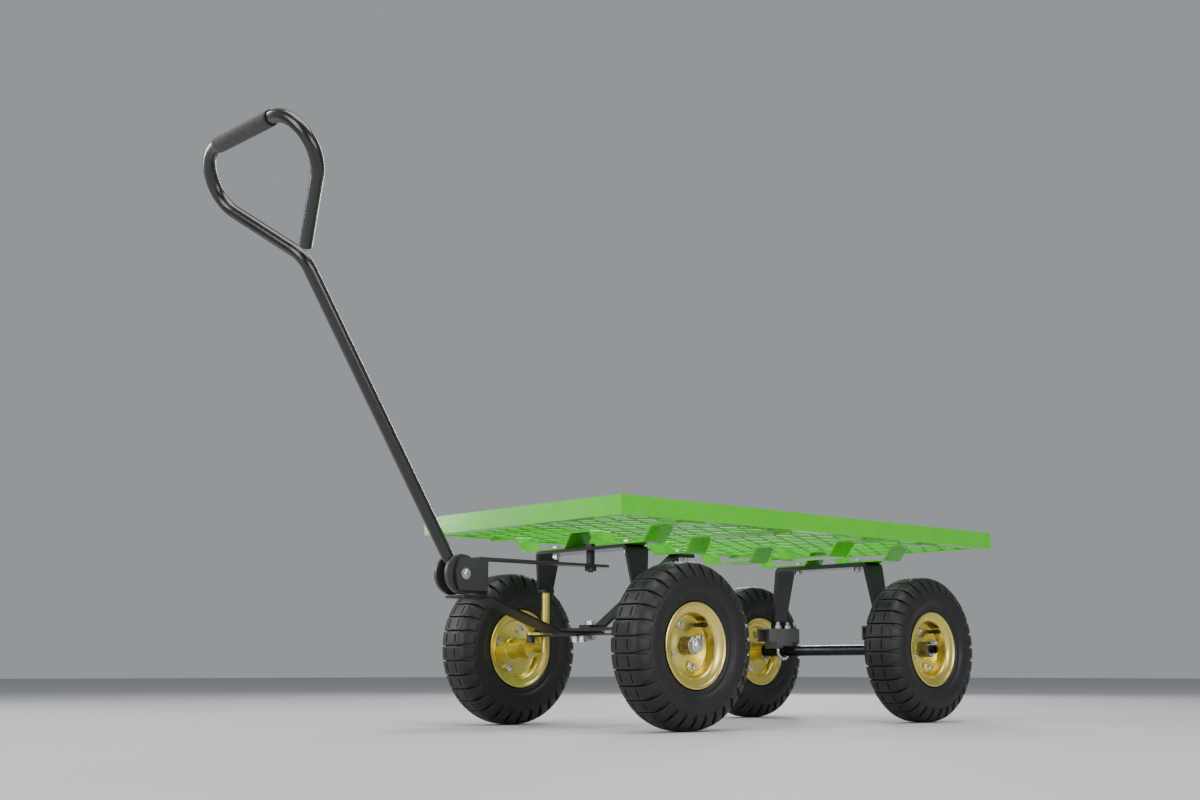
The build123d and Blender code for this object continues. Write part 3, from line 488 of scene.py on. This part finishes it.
bolt_circle = 35 * mm
bolt_set = [hexagon(13 * mm, -15.5 * mm, -10.5 * mm), hexagon(13 * mm, 4.6 * mm, 11.5 * mm),
            threaded_end("thread", 4.2, 4, 16.4, 1.2)]
rim_bolt = join(bolt_set[0], bolt_set[1:])
four = []
for quarter in range(4):
    angle = radians(20) + quarter * pi / 2
    spot = (-bolt_circle * cos(angle), 0, bolt_circle * sin(angle))
    four.append(placed_copy(rim_bolt, "bolt", turn=(0, angle * 3, 0), move=spot))
bpy.data.objects.remove(rim_bolt)
four = join(four[0], four[1:])
for wheel in wheels:
    fit_wheel_piece(four, wheel, "rim_bolts", "rim_bolt_set")
bpy.data.objects.remove(four)

washer = [(25.3, 7.9), (25.3, 13.0), (25.8, 13.6), (26.8, 13.6), (27.3, 13.0), (27.3, 7.9)]
for side_name, facing in (("left", 0), ("right", pi)):
    end_pieces = [spun_piece("axle_end", washer, bright_zinc), hexagon(22 * mm, 27.3 * mm, 34 * mm),
                  threaded_end("thread", 8.2, 30, 37.4, 1.5)]
    end_piece = join(end_pieces[0], end_pieces[1:])
    place = middle(f"front_{side_name}_tyre")
    fitted = placed_copy(end_piece, f"{side_name}_axle_end_nut", turn=(0, 0, facing), move=place)
    bpy.data.objects.remove(end_piece)
    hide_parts(f"{side_name}_axle_nut")
    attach(fitted, f"{side_name}_knuckle_body")

# ---- tyres --------------------------------------------------------------------------
# Moulded black rubber carcass with a ring of tread blocks: each block crosses the whole
# crown, is slit twice along the tyre, and narrows into a lug on each shoulder.
tyre_r = 129.7 * mm
half_w = 38.6 * mm
blocks = 32
groove_mm = 2.2
slit_y = 12 * mm
slit_w = 2.0 * mm


def tread_r(y, scale=1.0, drop=0.0):
    """Radius of the tread at a place across the tyre."""
    return tyre_r - drop - 22.3 * mm * abs(y / (half_w * scale)) ** 5


side = [(37.4, 104), (38.5, 97), (38.2, 89), (36.4, 82), (34.8, 79), (33.2, 78.2), (32.4, 76.0),
        (32.6, 73.2), (32.0, 71.0), (30.4, 69.2), (28.6, 67.4), (27.0, 66.2), (25.8, 62), (25.4, 57),
        (23.4, 53.6), (20.8, 51.4), (12.5, 51.4),
        (17, 64), (29, 90), (27, 106), (14, 115)]
crown = [(y, tread_r(y * mm, 0.97, 4.6 * mm) / mm) for y in (0, 10, 19, 26, 31, 35)]
right_half = crown + side
left_half = [(-y, r) for y, r in reversed(right_half[1:])]
outline = [(y * mm, r * mm) for y, r in right_half + [(0, 116.5)] + left_half]
tyre = draw_profile("tyre_pattern", outline)
spin_profile(tyre, 2 * pi, 64)
apply_modifier(tyre, "SUBSURF", levels=1, render_levels=1)

across = [-38.6, -37.2, -34.5, -30.5, -25, -19, -13, -11, -5]
across = [y * mm for y in across] + [0.0] + [-y * mm for y in reversed(across)]
top_line = [(y, tread_r(y)) for y in across]
under_line = [(y * 0.86, tread_r(y) - 9 * mm) for y in reversed(across[::2])]
block_angle = 2 * pi / blocks - groove_mm * mm / tyre_r
block = draw_profile("tread_block", top_line + under_line)
spin_profile(block, block_angle, 6, filled=True)
block.rotation_euler = (0, block_angle / 2, 0)
bpy.ops.object.transform_apply(location=True, rotation=True, scale=True)
pick(block, "VERT", lambda co: abs(co.y) > 28 * mm)
bpy.ops.transform.resize(value=(0.78, 1, 1), center_override=(0, 0, 0))
pick(block, "VERT", lambda co: abs(co.y) > 33 * mm)
bpy.ops.transform.resize(value=(0.86, 1, 1), center_override=(0, 0, 0))
pick(block, "FACE", lambda co: abs(abs(co.y) - slit_y) < slit_w / 3 and co.z > 0.98 * tread_r(slit_y)
     and abs(co.x) < 0.38 * block_angle * tyre_r)
bpy.ops.mesh.extrude_region_move(TRANSFORM_OT_translate={"value": (0, 0, -4 * mm)})
bpy.ops.object.mode_set(mode="OBJECT")
apply_modifier(block, "BEVEL", width=0.7 * mm, segments=2, limit_method="ANGLE", angle_limit=radians(35))


ring = [placed_copy(block, f"block_{n}", turn=(0, 2 * pi * n / blocks, 0)) for n in range(blocks)]
bpy.data.objects.remove(block)
join(tyre, ring)
bpy.ops.object.shade_smooth_by_angle(angle=radians(40))


def tyre_rubber(name):
    """Moulded rubber: charcoal with road dust in soft patches, satin on the blocks."""
    material, place = new_material(name)
    dust = blotches(material, place, 35, -0.3, 0.55, detail=5.0)
    dust_only = add_node(material, "ShaderNodeClamp", {"Value": dust})
    base = mixed(material, dust_only.outputs[0], linear("#0e0e0f"), linear("#1b1a19"))
    gloss = blotches(material, place, 16, 0.42, 0.62)
    pores = blotches(material, place, 0.9, 0.0, 1.0, detail=4.0)
    grain = bumped(material, pores, 0.12, 0.35)
    flow = blotches(material, place, 12, 0.0, 1.0)
    normal = bumped(material, flow, 0.35, 0.2, under=grain)
    return finish_material(material, base_color=base, roughness=gloss, normal=normal,
                           ior=1.5, coat_weight=0.06, coat_roughness=0.35)


rubber = tyre_rubber("moulded tyre rubber")
tyre.data.materials.clear()
tyre.data.materials.append(rubber)
for number, wheel in enumerate(wheels):
    fitted = placed_copy(tyre, f"{wheel}_tread_tyre", turn=(0, 0.07 * number, 0),
                         move=middle(f"{wheel}_tyre"))
    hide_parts(f"{wheel}_tyre")
    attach(fitted, f"{wheel}_wheel")
bpy.data.objects.remove(tyre)

# ---- valve stems --------------------------------------------------------------------
# Moulded black rubber stem with a knurled cap, pushed through the outer rim half.
stem_rubber = tyre_rubber("valve rubber")
for wheel in wheels:
    coat_nodes(stem_rubber, f"{wheel}_valve_stem")

# ---- handle -------------------------------------------------------------------------
# Bent steel tube in gloss black enamel. The sprayed film is smooth, with a slow waviness
# and a few dull patches where hands and gloves rub it.
enamel = powder_coat("gloss black enamel on steel tube", "#08080a", "#141416", 0.27, 2.4, 0.5)
coat_nodes(enamel, "handle_tube")

# ---- foam grip ----------------------------------------------------------------------
# Closed cell foam sleeve, pushed over the straight bar: soft rounded ends, slightly
# crowned, with a matt skin of tiny cells.
grip_low, grip_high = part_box("handle_grip")
grip_mid = middle("handle_grip")
grip_len = grip_high[1] - grip_low[1]
grip_r = (grip_high[2] - grip_low[2]) / 2
bore_r = grip_r - 2.6 * mm
start()
grip_profile = [(-0.5, 0.0), (-0.5, 0.42), (-0.488, 0.8), (-0.46, 0.96), (-0.3, 1.0), (0.0, 0.985),
                (0.3, 1.0), (0.46, 0.96), (0.488, 0.8), (0.5, 0.42), (0.5, 0.0), (0.0, 0.0)]
sleeve = [(y * grip_len, bore_r + out * (grip_r - bore_r)) for y, out in grip_profile]
grip = draw_profile("foam_grip", sleeve)
spin_profile(grip, 2 * pi, 32)
apply_modifier(grip, "SUBSURF", levels=2, render_levels=2)
grip = placed_copy(grip, "foam_grip_sleeve", move=grip_mid)
bpy.data.objects.remove(bpy.data.objects["foam_grip"])
bpy.ops.object.shade_smooth()


def closed_cell_foam(name):
    """Black foam: tiny cells in the skin and a soft sheen."""
    material, place = new_material(name)
    patches = blotches(material, place, 22, 0.0, 1.0)
    base = mixed(material, patches, linear("#0d0d0e"), linear("#19191a"))
    cells = add_node(material, "ShaderNodeTexVoronoi", {"Vector": place, "Scale": 1000 / 1.4})
    skin = bumped(material, cells.outputs["Distance"], 0.35, 0.5)
    gloss = blotches(material, place, 9, 0.72, 0.92)
    return finish_material(material, base_color=base, roughness=gloss, normal=skin,
                           sheen_weight=0.25, sheen_roughness=0.5)


grip.data.materials.clear()
grip.data.materials.append(closed_cell_foam("closed cell black foam"))
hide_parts("handle_grip")
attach(grip, "handle")

# ---- studio -------------------------------------------------------------------------
# A flat pale floor, one large soft light over the deck, a fill from the front and one from
# the cart's left, and two narrow strips on its right, behind and in front, for bright edges.
floor_material, floor_place = new_material("pale studio floor")
shade = blotches(floor_material, floor_place, 900, 0.0, 1.0)
floor_colour = mixed(floor_material, shade, linear("#bcbcbe"), linear("#b7b7b9"))
finish_material(floor_material, base_color=floor_colour, roughness=0.75)
start()
bpy.ops.mesh.primitive_plane_add(size=30)
floor = bpy.context.object
floor.name = "studio_floor"
floor.data.materials.append(floor_material)


def soft_light(name, place, target, size, power, tone="#ffffff"):
    """A rectangular area light turned to face its target."""
    data = bpy.data.lights.new(name, "AREA")
    data.shape = "RECTANGLE"
    data.size, data.size_y = size
    data.energy = power
    data.color = linear(tone)[:3]
    lamp = bpy.data.objects.new(name, data)
    bpy.context.collection.objects.link(lamp)
    lamp.visible_camera = False
    lamp.location = place
    aim = [b - a for a, b in zip(place, target)]
    lamp.rotation_euler = mathutils.Vector(aim).to_track_quat("-Z", "Y").to_euler()


soft_light("overhead", (0.2, 0.6, 3.0), (0, 0, 0.3), (2.6, 2.0), 80)
soft_light("front_fill", (3.2, 0.4, 1.2), (0.2, 0, 0.3), (1.6, 1.6), 46)
soft_light("side_fill", (0.4, 3.4, 1.1), (-0.2, 0, 0.3), (2.6, 1.2), 46)
soft_light("back_strip", (-2.4, -1.8, 1.8), (0, 0, 0.4), (0.5, 2.6), 48)
soft_light("front_strip", (1.6, -2.2, 1.6), (0.5, 0, 0.5), (0.4, 2.2), 40)
world = bpy.data.worlds.new("studio")
bpy.context.scene.world = world
world.use_nodes = True
world.node_tree.nodes["Background"].inputs["Color"].default_value = linear("#c8ccd0")
world.node_tree.nodes["Background"].inputs["Strength"].default_value = 0.55

# The camera stands low in front of the left wheel and looks up along the deck.
camera_data = bpy.data.cameras.new("camera")
camera_data.sensor_width = 36
camera_data.lens = 45.06
camera = bpy.data.objects.new("camera", camera_data)
bpy.context.collection.objects.link(camera)
front_axle_x = middle("front_left_tyre")[0]
camera.location = (front_axle_x + 1.6848, 1.8664, 0.0926)
camera.rotation_euler = (radians(90 + 10.2), 0, radians(227.57 - 90))
bpy.context.scene.camera = camera
